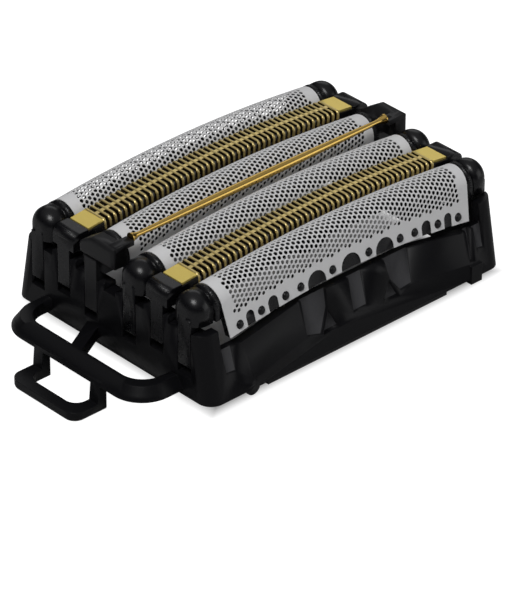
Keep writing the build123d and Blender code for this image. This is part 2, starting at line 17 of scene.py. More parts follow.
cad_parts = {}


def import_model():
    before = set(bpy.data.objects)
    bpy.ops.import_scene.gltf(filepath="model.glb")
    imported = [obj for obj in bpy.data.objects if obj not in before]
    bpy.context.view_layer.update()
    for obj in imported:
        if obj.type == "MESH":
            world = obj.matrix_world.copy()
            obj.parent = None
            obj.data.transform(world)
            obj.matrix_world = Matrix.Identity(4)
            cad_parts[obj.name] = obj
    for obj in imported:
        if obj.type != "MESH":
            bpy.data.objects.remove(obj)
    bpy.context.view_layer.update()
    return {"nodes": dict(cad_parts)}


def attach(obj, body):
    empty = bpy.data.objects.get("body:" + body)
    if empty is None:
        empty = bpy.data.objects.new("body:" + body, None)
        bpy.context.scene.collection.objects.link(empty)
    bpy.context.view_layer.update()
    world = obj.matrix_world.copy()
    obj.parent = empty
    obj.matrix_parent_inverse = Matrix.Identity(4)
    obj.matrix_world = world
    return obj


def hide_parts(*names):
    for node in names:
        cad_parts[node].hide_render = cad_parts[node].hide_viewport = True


LOG = logging.getLogger("shaver_foil_head")
MM = 0.001

# Shading and meshing
SHARP_DEGREES = 40.0
SMALL_SHARP_DEGREES = 60.0
MERGE_DISTANCE = 1e-6
FACING = 0.9
EDGE_SAMPLES = 6
GRAIN_DETAIL = 3.0
LEAST_ROUGHNESS = 0.02
HOLE_CORNERS = 12
STAKE_CORNERS = 28
HEX_TURN = math.radians(60.0)

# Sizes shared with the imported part
ARCH_RADIUS = 190.0
FOIL_CREST = 15.45
FOIL_RADIUS = 2.5
FOIL_SHEET = 0.1
FOIL_HALF_LENGTH = 21.3
INNER_SKIRT = 1.6
SKIRT_LEAN = math.radians(12.8)
SKIRT_BOTTOM = 9.35
STAKE_ROW_HEIGHT = 10.25
STAKE_ROW_RADIUS = 135.0
STAKE_PLACES = (3.11, 8.56, 11.12, 15.22, 18.86)
SCALLOPS = ((0.0, 3.4), (5.85, 3.2), (13.2, 1.7), (17.05, 1.4))
OUTER_FOIL_Y = 13.5
INNER_FOIL_Y = 3.6
SLIT_CREST = 15.0
SLIT_HALF_WIDTH = 1.95
SLIT_Y = 8.75
ROLLER_HEIGHT = 15.1
WALL_HALF_DEPTH = 18.5
WALL_LEAN = math.tan(math.radians(10.5))
FLOOR_HEIGHT = -3.1


class Side(Enum):
    """Which way along Y a piece lies from the middle of the cassette."""

    FRONT = -1
    REAR = 1


class FoilKind(Enum):
    """The two foil patterns of the cassette."""

    OUTER = "outer"
    INNER = "inner"


def arch_drop(x: float | np.ndarray, radius: float = ARCH_RADIUS) -> float | np.ndarray:
    """How far an arch has fallen at x.

    Args:
        x: distance from the crest, one value or an array.
        radius: radius of the arch.

    Returns:
        The drop below the crest.
    """
    return radius - np.sqrt(radius**2 - np.square(x))


def mesh_object(name: str, points: np.ndarray, faces: list[list[int]]) -> bpy.types.Object:
    """Makes an object at the origin from points and faces.

    Args:
        name: name of the object and its mesh.
        points: one row (x, y, z) for each vertex, in millimetres.
        faces: vertex numbers of each face.

    Returns:
        The linked object.
    """
    mesh = bpy.data.meshes.new(name)
    mesh.from_pydata((np.asarray(points, float) * MM).tolist(), [], faces)
    mesh.update()
    piece = bpy.data.objects.new(name, mesh)
    bpy.context.scene.collection.objects.link(piece)
    return piece


def band_faces(rows: int, facets: int) -> list[list[int]]:
    """Faces between rows of points that each go once round an axis.

    Args:
        rows: how many rows there are.
        facets: how many points a row has.

    Returns:
        The vertex numbers of each face.
    """
    faces = []
    for row in range(rows - 1):
        start = row * facets
        above = start + facets
        for column in range(facets):
            after = (column + 1) % facets
            faces.append([start + column, start + after, above + after, above + column])
    return faces


def smooth_by_angle(mesh: bpy.types.Mesh, degrees: float) -> None:
    """Shades a mesh smooth but keeps edges sharper than an angle.

    Args:
        mesh: the mesh to shade.
        degrees: the smallest angle of a sharp edge.
    """
    mesh.polygons.foreach_set("use_smooth", [True] * len(mesh.polygons))
    mesh.set_sharp_from_angle(angle=math.radians(degrees))


@dataclass(frozen=True)
class Finish:
    """A procedural surface: colour, gloss, soft edges and a fine grain."""

    name: str
    colour: tuple[float, float, float]
    roughness: float
    metallic: float = 0.0
    specular: float = 0.5
    edge_radius: float = 0.0
    grain_size: float = 0.3
    grain_bump: float = 0.0
    gloss_spread: float = 0.0
    stretch: float = 1.0

    def material(self) -> bpy.types.Material:
        """Builds the node material.

        Returns:
            The material, made once for each name.
        """
        found = bpy.data.materials.get(self.name)
        if found:
            return found
        material = bpy.data.materials.new(self.name)
        material.use_nodes = True
        nodes = material.node_tree.nodes
        links = material.node_tree.links
        shader = nodes["Principled BSDF"]
        shader.inputs["Base Color"].default_value = (*self.colour, 1.0)
        shader.inputs["Roughness"].default_value = self.roughness
        shader.inputs["Metallic"].default_value = self.metallic
        shader.inputs["Specular IOR Level"].default_value = self.specular
        normal = None
        if self.edge_radius:
            edge = nodes.new("ShaderNodeBevel")
            edge.samples = EDGE_SAMPLES
            edge.inputs["Radius"].default_value = self.edge_radius * MM
            normal = edge.outputs["Normal"]
        if self.grain_bump or self.gloss_spread:
            place = nodes.new("ShaderNodeTexCoord")
            stretch = nodes.new("ShaderNodeMapping")
            stretch.inputs["Scale"].default_value = (1.0 / self.stretch, 1.0, 1.0)
            grain = nodes.new("ShaderNodeTexNoise")
            grain.inputs["Scale"].default_value = 1.0 / (self.grain_size * MM)
            grain.inputs["Detail"].default_value = GRAIN_DETAIL
            links.new(place.outputs["Object"], stretch.inputs["Vector"])
            links.new(stretch.outputs["Vector"], grain.inputs["Vector"])
            if self.gloss_spread:
                spread = nodes.new("ShaderNodeMapRange")
                least = max(LEAST_ROUGHNESS, self.roughness - self.gloss_spread)
                spread.inputs["To Min"].default_value = least
                spread.inputs["To Max"].default_value = self.roughness + self.gloss_spread
                links.new(grain.outputs["Fac"], spread.inputs["Value"])
                links.new(spread.outputs["Result"], shader.inputs["Roughness"])
            if self.grain_bump:
                bump = nodes.new("ShaderNodeBump")
                bump.inputs["Strength"].default_value = self.grain_bump
                bump.inputs["Distance"].default_value = self.grain_size * MM
                links.new(grain.outputs["Fac"], bump.inputs["Height"])
                if normal:
                    links.new(normal, bump.inputs["Normal"])
                normal = bump.outputs["Normal"]
        if normal:
            links.new(normal, shader.inputs["Normal"])
        return material


RING_PLASTIC = Finish(
    "ring_plastic",
    (0.006, 0.006, 0.007),
    0.34,
    specular=0.16,
    edge_radius=0.12,
    grain_size=0.12,
    grain_bump=0.03,
    gloss_spread=0.05,
)
# Rougher, grainier plastic for the wall pockets; its lighter colour is painted light, standing in for the
# light that the tilted pocket floors catch.
LIT_POCKET_PLASTIC = Finish(
    "pocket_plastic",
    (0.045, 0.045, 0.048),
    0.6,
    specular=0.3,
    edge_radius=0.08,
    grain_size=0.10,
    grain_bump=0.25,
)
GLOSS_PLASTIC = Finish(
    "gloss_plastic",
    (0.004, 0.004, 0.005),
    0.28,
    specular=0.40,
    edge_radius=0.15,
    grain_size=0.8,
    gloss_spread=0.04,
)
SATIN_PLASTIC = Finish(
    "satin_plastic",
    (0.012, 0.012, 0.013),
    0.4,
    specular=0.3,
    edge_radius=0.15,
    grain_size=0.15,
    grain_bump=0.05,
)
FOIL_STEEL = Finish(
    "foil_steel",
    (0.52, 0.52, 0.53),
    0.20,
    1.0,
    grain_size=0.05,
    gloss_spread=0.08,
    stretch=14.0,
)
# Near-black underside of the foils: painted shade for the dark inside of the cassette, where the real
# underside is the same steel in shade.
FOIL_UNDERSIDE_SHADE = Finish("foil_inside", (0.006, 0.006, 0.006), 0.6, specular=0.1)
COMB_GOLD = Finish("comb_gold", (0.95, 0.76, 0.32), 0.36, 1.0, grain_size=0.3, gloss_spread=0.06)
COMB_SHADE = Finish("comb_shade", (0.030, 0.020, 0.008), 0.45, 0.6, grain_size=0.3, gloss_spread=0.05)
PLATE_GOLD = Finish(
    "plate_gold",
    (1.00, 0.78, 0.20),
    0.38,
    0.6,
    edge_radius=0.05,
    grain_size=0.3,
    gloss_spread=0.06,
)
ROLLER_GOLD = Finish("roller_gold", (0.84, 0.56, 0.15), 0.14, 1.0, grain_size=0.4, gloss_spread=0.04)
CUTTER_STEEL = Finish("cutter_steel", (0.16, 0.15, 0.14), 0.4, 1.0, grain_size=0.3, gloss_spread=0.08)
DARK_PLASTIC = Finish("dark_plastic", (0.008, 0.008, 0.009), 0.5, specular=0.2, edge_radius=0.1)


class NodeGraph:
    """A Geometry Nodes tree that is filled in by name."""

    def __init__(self, name: str) -> None:
        """Starts a tree with its geometry in and out.

        Args:
            name: name of the tree.
        """
        self.tree = bpy.data.node_groups.new(name, "GeometryNodeTree")
        self.tree.interface.new_socket("Geometry", in_out="INPUT", socket_type="NodeSocketGeometry")
        self.tree.interface.new_socket("Geometry", in_out="OUTPUT", socket_type="NodeSocketGeometry")
        self.inputs = self.tree.nodes.new("NodeGroupInput")
        self.outputs = self.tree.nodes.new("NodeGroupOutput")

    def socket(self, name: str, kind: str) -> None:
        """Adds a named input.

        Args:
            name: name of the input.
            kind: socket type of the input.
        """
        self.tree.interface.new_socket(name, in_out="INPUT", socket_type=kind)

    def node(self, kind: str, **links: object) -> bpy.types.Node:
        """Adds a node.

        Args:
            kind: type of the node.
            links: an output socket or a constant for each input, by the input's name with underscores.

        Returns:
            The node.
        """
        node = self.tree.nodes.new(kind)
        for name, value in links.items():
            socket = node.inputs[name.replace("_", " ")]
            if isinstance(value, bpy.types.NodeSocket):
                self.tree.links.new(value, socket)
            else:
                socket.default_value = value
        return node

    def close(self, geometry: bpy.types.NodeSocket) -> None:
        """Ends the tree with realised instances in the material input.

        Args:
            geometry: what the tree has made.
        """
        whole = self.node("GeometryNodeRealizeInstances", Geometry=geometry)
        painted = self.node(
            "GeometryNodeSetMaterial",
            Geometry=whole.outputs["Geometry"],
            Material=self.inputs.outputs["Material"],
        )
        self.tree.links.new(painted.outputs["Geometry"], self.outputs.inputs["Geometry"])

    def apply(self, piece: bpy.types.Object, values: dict[str, object]) -> bpy.types.Object:
        """Runs the tree on an object and keeps the result as its plain mesh.

        Args:
            piece: the object, whose mesh is the geometry input.
            values: value of each named input.

        Returns:
            The same object with the new mesh.
        """
        modifier = piece.modifiers.new(self.tree.name, "NODES")
        modifier.node_group = self.tree
        for item in self.tree.interface.items_tree:
            if item.in_out == "INPUT" and item.name in values:
                modifier[item.identifier] = values[item.name]
        piece.update_tag()
        bpy.context.view_layer.update()
        evaluated = piece.evaluated_get(bpy.context.evaluated_depsgraph_get())
        result = bpy.data.meshes.new_from_object(evaluated)
        piece.modifiers.remove(modifier)
        piece.data = result
        return piece


def perforation_graph() -> NodeGraph:
    """The tree that punches round holes and cut-outs through a flat blank.

    Returns:
        The tree, with inputs for the hole places, their radii and the cut-outs.
    """
    graph = NodeGraph("punch_blank")
    for name in ("Holes", "Stakes", "Cutouts"):
        graph.socket(name, "NodeSocketObject")
    for name in ("Hole Radius", "Stake Radius", "Depth"):
        graph.socket(name, "NodeSocketFloat")
    graph.socket("Material", "NodeSocketMaterial")
    given = graph.inputs.outputs
    punches = []
    rows = (("Holes", "Hole Radius", HOLE_CORNERS), ("Stakes", "Stake Radius", STAKE_CORNERS))
    for places, radius, corners in rows:
        points = graph.node("GeometryNodeObjectInfo", Object=given[places])
        rod = graph.node(
            "GeometryNodeMeshCylinder", Vertices=corners, Radius=given[radius], Depth=given["Depth"]
        )
        copies = graph.node(
            "GeometryNodeInstanceOnPoints", Points=points.outputs["Geometry"], Instance=rod.outputs["Mesh"]
        )
        whole = graph.node("GeometryNodeRealizeInstances", Geometry=copies.outputs["Instances"])
        punches.append(whole.outputs["Geometry"])
    cutouts = graph.node("GeometryNodeObjectInfo", Object=given["Cutouts"])
    punches.append(cutouts.outputs["Geometry"])
    joined = graph.node("GeometryNodeJoinGeometry")
    for punch in punches:
        graph.tree.links.new(punch, joined.inputs["Geometry"])
    cut = graph.tree.nodes.new("GeometryNodeMeshBoolean")
    cut.operation = "DIFFERENCE"
    cut.solver = "MANIFOLD"
    graph.tree.links.new(given["Geometry"], cut.inputs["Mesh 1"])
    graph.tree.links.new(joined.outputs["Geometry"], cut.inputs["Mesh 2"])
    graph.close(cut.outputs["Mesh"])
    return graph


def repeat_graph() -> NodeGraph:
    """The tree that puts one shape on each point, turned to the point's own angle about Y.

    Returns:
        The tree, with inputs for the shape and the material.
    """
    graph = NodeGraph("repeat_shape")
    graph.socket("Shape", "NodeSocketObject")
    graph.socket("Material", "NodeSocketMaterial")
    shape = graph.node("GeometryNodeObjectInfo", Object=graph.inputs.outputs["Shape"])
    turn = graph.tree.nodes.new("GeometryNodeInputNamedAttribute")
    turn.data_type = "FLOAT_VECTOR"
    turn.inputs["Name"].default_value = "turn"
    angles = graph.tree.nodes.new("FunctionNodeEulerToRotation")
    graph.tree.links.new(turn.outputs["Attribute"], angles.inputs["Euler"])
    copies = graph.node(
        "GeometryNodeInstanceOnPoints",
        Points=graph.inputs.outputs["Geometry"],
        Instance=shape.outputs["Geometry"],
        Rotation=angles.outputs["Rotation"],
    )
    graph.close(copies.outputs["Instances"])
    return graph


def points_object(name: str, places: np.ndarray, turns: np.ndarray | None = None) -> bpy.types.Object:
    """Loose points for a tree to put shapes on.

    Args:
        name: name of the object.
        places: one row for each point.
        turns: Euler angles of each point, if the shapes turn.

    Returns:
        The object.
    """
    cloud = mesh_object(name, np.asarray(places, float).reshape(-1, 3), [])
    if turns is not None:
        attribute = cloud.data.attributes.new("turn", "FLOAT_VECTOR", "POINT")
        attribute.data.foreach_set("vector", np.asarray(turns, np.float32).ravel())
    return cloud


@dataclass
class Foil:
    """One arched, perforated foil, punched flat as a blank and then bent."""

    kind: FoilKind
    side: Side
    centre: float
    hole_radius: float = 0.27
    hole_pitch: float = 0.71
    row_tilt: float = math.radians(-21.0)
    end_margin: float = 1.6
    skirt_margin: float = 1.75
    stake_radius: float = 0.6
    scallop_rise: float = 1.0
    scallop_steps: int = 20
    lattice_reach: int = 90
    columns: int = 56
    inner_rows: int = 3
    arc_rows: int = 30
    skirt_rows: int = 9
    inside_normal: float = -0.5

    @property
    def name(self) -> str:
        """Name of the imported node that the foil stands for."""
        return f"foil_{self.side.name.lower()}_{self.kind.value}"

    @property
    def body(self) -> str:
        """Body that the foil moves with."""
        return f"unit_{self.side.name.lower()}_{self.kind.value}"

    @property
    def lean(self) -> float:
        """Lean of the outer skirt."""
        return SKIRT_LEAN if self.kind is FoilKind.OUTER else 0.0

    @property
    def arc_end(self) -> float:
        """Distance along the section at which the outer skirt begins."""
        return INNER_SKIRT + FOIL_RADIUS * (math.pi - self.lean)

    @property
    def skirt_share(self) -> float:
        """Length along X on the skirt's stake row for each unit along the arch."""
        return (STAKE_ROW_HEIGHT - FOIL_CREST + ARCH_RADIUS) / ARCH_RADIUS

    def skirt_run(self, along: np.ndarray, height: np.ndarray) -> np.ndarray:
        """Distance along the section of a height on the outer skirt.

        Args:
            along: distance along the arch.
            height: height above the foot plane there.

        Returns:
            Distance along the section.
        """
        low = FOIL_CREST - ARCH_RADIUS
        section_z = low + (height - low) / np.cos(along / ARCH_RADIUS)
        start_z = FOIL_CREST - FOIL_RADIUS + FOIL_RADIUS * math.sin(self.lean)
        return self.arc_end + (start_z - section_z) / math.cos(self.lean)

    def lower_edge(self, along: np.ndarray) -> np.ndarray:
        """Distance along the section of the outer skirt's lower edge.

        Args:
            along: distance along the arch.

        Returns:
            Distance along the section.
        """
        if self.kind is FoilKind.INNER:
            return np.full_like(along, self.arc_end + INNER_SKIRT)
        return self.skirt_run(along, SKIRT_BOTTOM - arch_drop(along * self.skirt_share, STAKE_ROW_RADIUS))

    def stake_row(self, along: np.ndarray) -> np.ndarray:
        """Distance along the section of the row of stakes.

        Args:
            along: distance along the arch.

        Returns:
            Distance along the section.
        """
        return self.skirt_run(along, STAKE_ROW_HEIGHT - arch_drop(along * self.skirt_share, STAKE_ROW_RADIUS))

    def bend(self, flat: np.ndarray) -> np.ndarray:
        """Bends flat points into the foil's place.

        Args:
            flat: rows of distance along the arch, along the section, and out of the sheet.

        Returns:
            Rows (x, y, z) in millimetres.
        """
        along, run, out = flat.T
        angle = np.clip(math.pi - (run - INNER_SKIRT) / FOIL_RADIUS, self.lean, math.pi)
        radius = FOIL_RADIUS + out
        spare = np.maximum(run - self.arc_end, 0.0)
        rise = np.minimum(run - INNER_SKIRT, 0.0)
        across = radius * np.cos(angle) + spare * math.sin(self.lean)
        low = FOIL_CREST - ARCH_RADIUS
        height = FOIL_CREST - FOIL_RADIUS + radius * np.sin(angle) - spare * math.cos(self.lean) + rise
        swing = along / ARCH_RADIUS
        x = (height - low) * np.sin(swing)
        z = low + (height - low) * np.cos(swing)
        y = self.centre + self.side.value * across
        return np.column_stack([x, y, z])

    def blank(self) -> bpy.types.Object:
        """The flat sheet before it is punched.

        Returns:
            A closed slab with rows that follow the lower edge.
        """
        half = ARCH_RADIUS * math.asin(FOIL_HALF_LENGTH / ARCH_RADIUS)
        along = np.linspace(-half, half, self.columns + 1)
        inner = np.linspace(0, INNER_SKIRT, self.inner_rows + 1)[:-1]
        fixed = np.concatenate([inner, np.linspace(INNER_SKIRT, self.arc_end, self.arc_rows + 1)])
        edge = self.lower_edge(along)
        rows = [np.column_stack([along, np.full_like(along, run)]) for run in fixed]
        for share in np.linspace(0, 1, self.skirt_rows + 1)[1:]:
            rows.append(np.column_stack([along, self.arc_end + share * (edge - self.arc_end)]))
        grid = np.array(rows)
        count = grid.shape[0] * grid.shape[1]
        flat = grid.reshape(-1, 2)
        top = np.column_stack([flat, np.zeros(count)])
        under = np.column_stack([flat, np.full(count, -FOIL_SHEET)])
        number = np.arange(count).reshape(grid.shape[:2])
        faces = []
        for row in range(grid.shape[0] - 1):
            for column in range(grid.shape[1] - 1):
                quad = [
                    number[row, column],
                    number[row, column + 1],
                    number[row + 1, column + 1],
                    number[row + 1, column],
                ]
                faces.append([int(corner) for corner in quad])
                faces.append([int(corner) + count for corner in reversed(quad)])
        border = np.concatenate([number[0, :], number[1:, -1], number[-1, -2::-1], number[-2:0:-1, 0]])
        for first, second in zip(border, np.roll(border, -1)):
            faces.append([int(second), int(first), int(first) + count, int(second) + count])
        return mesh_object(self.name + "_look", np.vstack([top, under]), faces)

    def hole_places(self) -> np.ndarray:
        """Where the small holes go on the blank.

        Returns:
            One row for each hole.
        """
        half = FOIL_HALF_LENGTH - self.end_margin
        first = np.array([math.cos(self.row_tilt), -math.sin(self.row_tilt)]) * self.hole_pitch
        turn = self.row_tilt + HEX_TURN
        second = np.array([math.cos(turn), -math.sin(turn)]) * self.hole_pitch
        steps = np.arange(-self.lattice_reach, self.lattice_reach + 1)
        counts = np.array(np.meshgrid(steps, steps)).reshape(2, -1).T
        places = counts @ np.array([first, second]) + np.array([0.0, self.arc_end])
        low = np.full(len(places), INNER_SKIRT - self.hole_radius)
        if self.kind is FoilKind.OUTER:
            high = self.stake_row(np.clip(places[:, 0], -half, half)) - self.skirt_margin
        else:
            high = np.full(len(places), self.arc_end + self.hole_radius)
        keep = (np.abs(places[:, 0]) < half) & (places[:, 1] > low) & (places[:, 1] < high)
        return np.column_stack([places[keep], np.full(keep.sum(), -FOIL_SHEET / 2)])

    def stake_places(self) -> np.ndarray:
        """Where the stake holes go on the blank.

        Returns:
            One row for each hole, none for an inner foil.
        """
        if self.kind is FoilKind.INNER:
            return np.zeros((0, 3))
        along = np.array([sign * place for place in STAKE_PLACES for sign in (-1, 1)]) / self.skirt_share
        return np.column_stack([along, self.stake_row(along), np.full(len(along), -FOIL_SHEET / 2)])

    def cutouts(self) -> bpy.types.Object:
        """Tools for the scallops in the outer skirt's lower edge.

        Returns:
            An object with one closed prism for each scallop.
        """
        points = []
        faces = []
        scallops = SCALLOPS if self.kind is FoilKind.OUTER else ()
        for place, width in scallops:
            for centre in sorted({-place / self.skirt_share, place / self.skirt_share}):
                half = width / 2
                top = float(self.stake_row(np.array([centre]))[0]) - self.scallop_rise + half
                past_edge = top + FOIL_RADIUS * 2
                ring = []
                for angle in np.linspace(math.pi, 2 * math.pi, self.scallop_steps + 1):
                    ring.append((centre + half * math.cos(angle), top + half * math.sin(angle)))
                ring += [(centre + half, past_edge), (centre - half, past_edge)]
                start = len(points)
                size = len(ring)
                for level in (FOIL_SHEET, -2 * FOIL_SHEET):
                    points += [(along, run, level) for along, run in ring]
                upper = list(range(start, start + size))
                lower = list(range(start + size, start + 2 * size))
                faces += [upper, lower[::-1]]
                for index in range(size):
                    after = (index + 1) % size
                    faces.append([upper[after], upper[index], lower[index], lower[after]])
        return mesh_object(self.name + "_cutouts", np.array(points).reshape(-1, 3), faces)

    def build(self, graph: NodeGraph) -> bpy.types.Object:
        """Punches and bends the foil.

        Args:
            graph: the punching tree.

        Returns:
            The finished piece, riding on its body.
        """
        piece = self.blank()
        tools = [
            points_object(self.name + "_holes", self.hole_places()),
            points_object(self.name + "_stakes", self.stake_places()),
            self.cutouts(),
        ]
        graph.apply(
            piece,
            {
                "Holes": tools[0],
                "Stakes": tools[1],
                "Cutouts": tools[2],
                "Hole Radius": self.hole_radius * MM,
                "Stake Radius": self.stake_radius * MM,
                "Depth": 4 * FOIL_SHEET * MM,
                "Material": FOIL_STEEL.material(),
            },
        )
        for tool in tools:
            bpy.data.objects.remove(tool)
        shape = bmesh.new()
        shape.from_mesh(piece.data)
        bmesh.ops.triangulate(shape, faces=shape.faces)
        shape.to_mesh(piece.data)
        shape.free()
        self.dress(piece)
        return piece

    def dress(self, piece: bpy.types.Object) -> None:
        """Bends the punched mesh, paints its inside dark as painted shade for the cassette's dark inside, and
        hangs it on its body.

        Args:
            piece: the flat punched foil.
        """
        mesh = piece.data
        flat = np.zeros(len(mesh.vertices) * 3)
        mesh.vertices.foreach_get("co", flat)
        flat = flat.reshape(-1, 3) / MM
        normals = np.zeros(len(mesh.polygons) * 3)
        mesh.polygons.foreach_get("normal", normals)
        # Faces that point under the sheet get the painted shade.
        inside = normals.reshape(-1, 3)[:, 2] < self.inside_normal
        mesh.materials.append(FOIL_UNDERSIDE_SHADE.material())
        mesh.polygons.foreach_set("material_index", inside.astype(np.int32))
        mesh.vertices.foreach_set("co", (self.bend(flat) * MM).ravel())
        if self.side is Side.FRONT:
            mesh.flip_normals()
        smooth_by_angle(mesh, SHARP_DEGREES)
        mesh.update()
        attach(piece, self.body)
        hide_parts(self.name)


@dataclass
class CombRibs:
    """Rounded gold ribs over the teeth of a slit blade."""

    side: Side
    pitch: float = 0.875
    count: int = 47
    half_width: float = 0.205
    crown: float = 0.09
    reach: float = 1.3
    shoulder: float = 0.5
    proud: float = 0.02
    side_drop: float = 0.1
    shoulder_points: int = 7
    crown_points: int = 9

    def rib(self) -> bpy.types.Object:
        """One rib at the crest, across the blade.

        Returns:
            An object whose origin is the middle of the rib's top.
        """
        edge = SLIT_HALF_WIDTH + self.proud
        path = [(-edge, -self.reach)]
        for angle in np.linspace(math.pi, math.pi / 2, self.shoulder_points):
            y = -edge + self.shoulder + self.shoulder * math.cos(angle)
            z = -self.shoulder + self.shoulder * math.sin(angle) + self.proud
            path.append((y, z))
        path = np.array(path + [(-y, z) for y, z in reversed(path)])
        tangent = np.gradient(path, axis=0)
        tangent /= np.linalg.norm(tangent, axis=1)[:, None]
        outward = np.column_stack([-tangent[:, 1], tangent[:, 0]])
        across = np.linspace(-1, 1, self.crown_points)
        points = []
        for place, normal in zip(path, outward):
            for share in across:
                lift = self.crown * (1 - share**2) - self.side_drop * (abs(share) == 1)
                y, z = place + normal * lift
                points.append((share * self.half_width, y, z))
        width = len(across)
        faces = []
        for row in range(len(path) - 1):
            for column in range(width - 1):
                first = row * width + column
                faces.append([first, first + 1, first + width + 1, first + width])
        return mesh_object("rib", np.array(points), faces)

    def build(self, graph: NodeGraph) -> bpy.types.Object:
        """Repeats the rib along the blade's arch.

        Args:
            graph: the repeating tree.

        Returns:
            The ribs, riding on the slit unit.
        """
        x = (np.arange(self.count) - (self.count - 1) / 2) * self.pitch
        places = np.column_stack(
            [x, np.full(self.count, self.side.value * SLIT_Y), SLIT_CREST - arch_drop(x)]
        )
        turns = np.column_stack([np.zeros(self.count), np.arcsin(x / ARCH_RADIUS), np.zeros(self.count)])
        name = self.side.name.lower()
        piece = points_object(f"slit_ribs_{name}", places, turns)
        rib = self.rib()
        graph.apply(piece, {"Shape": rib, "Material": COMB_GOLD.material()})
        bpy.data.objects.remove(rib)
        smooth_by_angle(piece.data, SMALL_SHARP_DEGREES)
        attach(piece, f"unit_slit_{name}")
        return piece


@dataclass
class StakeHeads:
    """Domed heads of the stakes that hold an outer foil's skirt."""

    foil: Foil
    radius: float = 0.5
    rise: float = 0.2
    seat: float = 0.1
    facets: int = 24
    dome_points: int = 6

    def dome(self) -> bpy.types.Object:
        """One head that rises along Z.

        Returns:
            An object whose origin is the middle of the head's foot.
        """
        rings = np.linspace(0, math.pi / 2, self.dome_points)[:-1]
        points = []
        for ring in rings:
            reach = self.radius * math.cos(ring)
            height = self.rise * math.sin(ring)
            for angle in np.linspace(0, 2 * math.pi, self.facets, endpoint=False):
                points.append((reach * math.cos(angle), reach * math.sin(angle), height))
        tip = len(points)
        points.append((0, 0, self.rise))
        faces = band_faces(len(rings), self.facets)
        last = tip - self.facets
        for column in range(self.facets):
            faces.append([last + column, last + (column + 1) % self.facets, tip])
        return mesh_object("stake_head", np.array(points), faces)

    def build(self, graph: NodeGraph) -> bpy.types.Object:
        """Puts a head on each stake.

        Args:
            graph: the repeating tree.

        Returns:
            The heads, riding with the foil.
        """
        flat = self.foil.stake_places()
        flat[:, 2] = self.seat
        turns = np.zeros((len(flat), 3))
        turns[:, 0] = -self.foil.side.value * (math.pi / 2 - SKIRT_LEAN)
        head = self.dome()
        name = self.foil.side.name.lower()
        piece = points_object(f"stake_heads_{name}", self.foil.bend(flat), turns)
        graph.apply(piece, {"Shape": head, "Material": GLOSS_PLASTIC.material()})
        bpy.data.objects.remove(head)
        smooth_by_angle(piece.data, SMALL_SHARP_DEGREES)
        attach(piece, self.foil.body)
        return piece


@dataclass
class Roller:
    """The polished barrel roller with flared collars."""

    mid_radius: float = 0.6
    neck_radius: float = 0.32
    collar_radius: float = 0.66
    neck_x: float = 20.1
    collar_x: float = 21.75
    end_x: float = 21.84
    end_radius: float = 0.01
    barrel_points: int = 16
    flare_points: int = 8
    facets: int = 40

    def build(self) -> bpy.types.Object:
        """Turns the roller's profile.

        Returns:
            The roller, riding on its body.
        """
        barrel = np.linspace(0, 1, self.barrel_points)
        flare = np.linspace(0, 1, self.flare_points)[1:]
        x = np.concatenate(
            [
                barrel * self.neck_x,
                self.neck_x + flare * (self.collar_x - self.neck_x),
                [self.end_x, self.end_x],
            ]
        )
        radius = np.concatenate(
            [
                self.mid_radius - (self.mid_radius - self.neck_radius) * barrel**2,
                self.neck_radius + (self.collar_radius - self.neck_radius) * flare**2,
                [self.collar_radius, self.end_radius],
            ]
        )
        x = np.concatenate([-x[:0:-1], x])
        radius = np.concatenate([radius[:0:-1], radius])
        angles = np.linspace(0, 2 * math.pi, self.facets, endpoint=False)
        points = np.array(
            [
                (place, reach * math.cos(angle), ROLLER_HEIGHT + reach * math.sin(angle))
                for place, reach in zip(x, radius)
                for angle in angles
            ]
        )
        piece = mesh_object("roller_look", points, band_faces(len(x), self.facets))
        piece.data.materials.append(ROLLER_GOLD.material())
        smooth_by_angle(piece.data, SHARP_DEGREES)
        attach(piece, "roller")
        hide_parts("skin_roller")
        return piece


@dataclass
class Moulding:
    """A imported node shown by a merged, smoothly shaded copy of its own mesh."""

    node: str
    body: str
    finish: Finish
    slot: str
    sharp_degrees: float = 28.0

    def build(self, source: bpy.types.Object) -> bpy.types.Object:
        """Copies, merges and shades the node's mesh.

        Args:
            source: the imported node.

        Returns:
            The copy, riding on the node's body.
        """
        mesh = source.data.copy()
        mesh.name = self.node + "_look"
        shape = bmesh.new()
        shape.from_mesh(mesh)
        bmesh.ops.remove_doubles(shape, verts=shape.verts, dist=MERGE_DISTANCE)
        bmesh.ops.recalc_face_normals(shape, faces=shape.faces)
        shape.to_mesh(mesh)
        shape.free()
        mesh.materials.clear()
        mesh.materials.append(self.finish.material())
        smooth_by_angle(mesh, self.sharp_degrees)
        piece = bpy.data.objects.new(self.node + "_look", mesh)
        bpy.context.scene.collection.objects.link(piece)
        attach(piece, self.body)
        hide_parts(self.node)
        return piece

    def dress(self, piece: bpy.types.Object) -> None:
        """A plain moulding keeps its one finish."""


@dataclass
class Ring(Moulding):
    """The cassette's ring, whose wall pockets have a rougher finish and a lighter colour that is painted
    light.
    """

    pocket_least: float = 0.3
    pocket_most: float = 0.95
    pocket_low: float = 2.2

    def dress(self, piece: bpy.types.Object) -> None:
        """Gives the floors of the wall pockets their own finish: rougher and grainier, with a lighter colour
        that is painted light for the light their tilted faces catch.

        Args:
            piece: the ring.
        """
        mesh = piece.data
        mesh.materials.append(LIT_POCKET_PLASTIC.material())
        for face in mesh.polygons:
            centre = face.center / MM
            wall = WALL_HALF_DEPTH - WALL_LEAN * centre.z
            depth = wall - abs(centre.y)
            outward = abs(face.normal.y) > FACING and face.normal.y * centre.y > 0
            if outward and self.pocket_least < depth < self.pocket_most and centre.z > self.pocket_low:
                # The pocket floor gets the lighter material, which is painted light.
                face.material_index = 1


